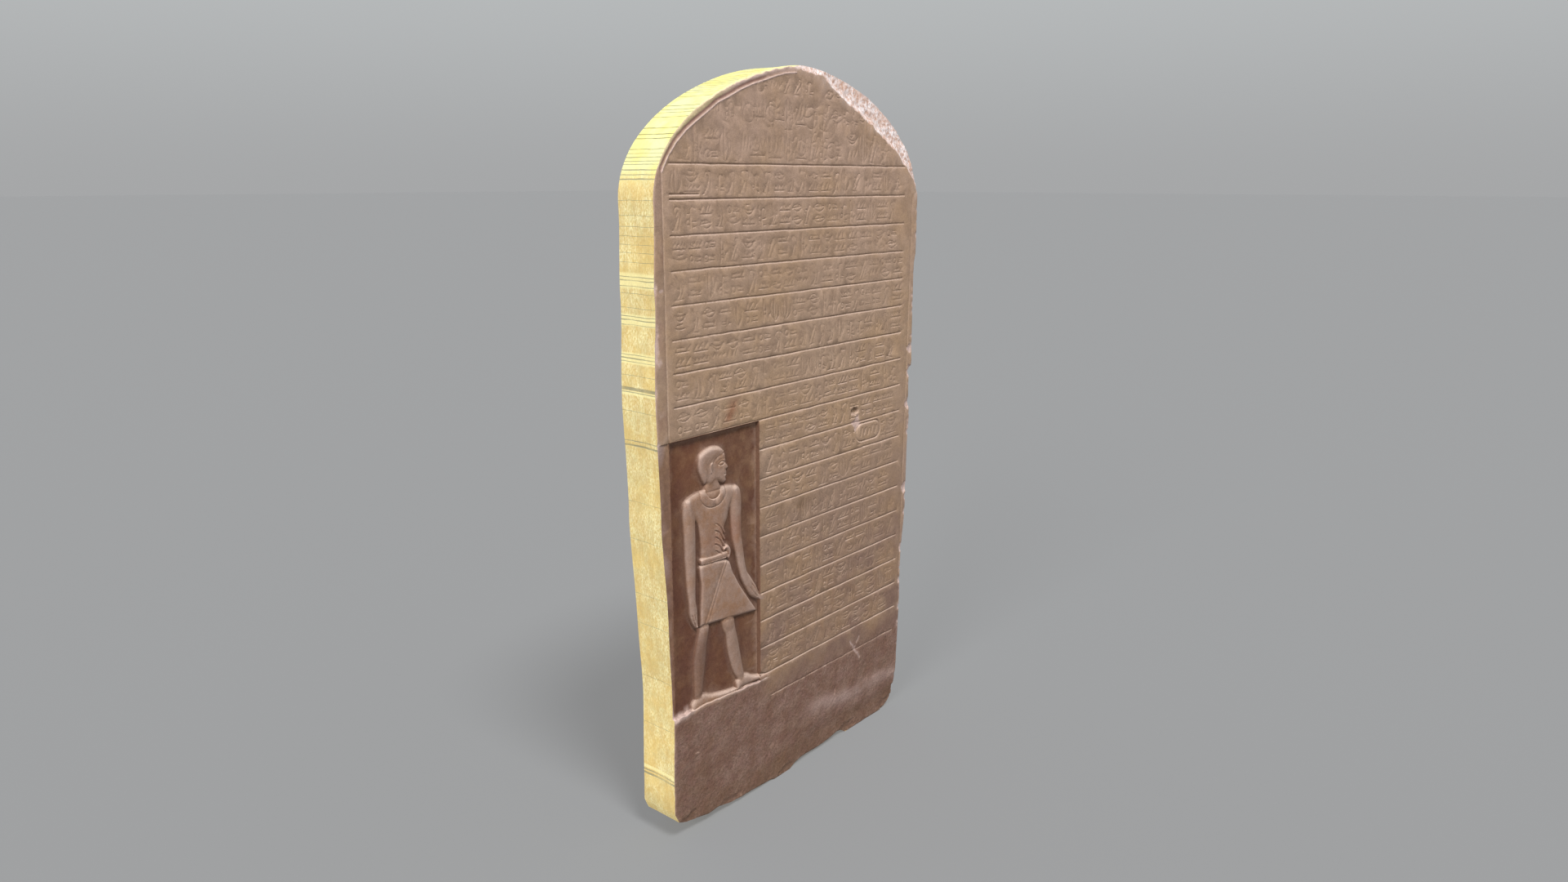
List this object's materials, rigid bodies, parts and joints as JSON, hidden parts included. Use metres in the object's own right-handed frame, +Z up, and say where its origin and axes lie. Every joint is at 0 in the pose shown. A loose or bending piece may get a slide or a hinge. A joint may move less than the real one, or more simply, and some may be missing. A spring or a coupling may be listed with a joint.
{
  "type": "carved stone stele",
  "caption": "Upright round-topped stone slab with ruled rows of shallow carved marks, a sunk panel holding a standing figure in low relief, and a spalled upper shoulder.",
  "frame": {"origin": "middle of the foot, at half the width and half the thickness", "axes": "+Z up along the height, +X to the right along the ruled rows as seen from the carved front, -Y out of the carved front"},
  "size_m": [0.6669, 0.073, 1.2],
  "materials": {
    "stone": "matt, fine grained, weathered"
  },
  "bodies": {
    "root": {"stele": "stone"}
  },
  "joints": []
}
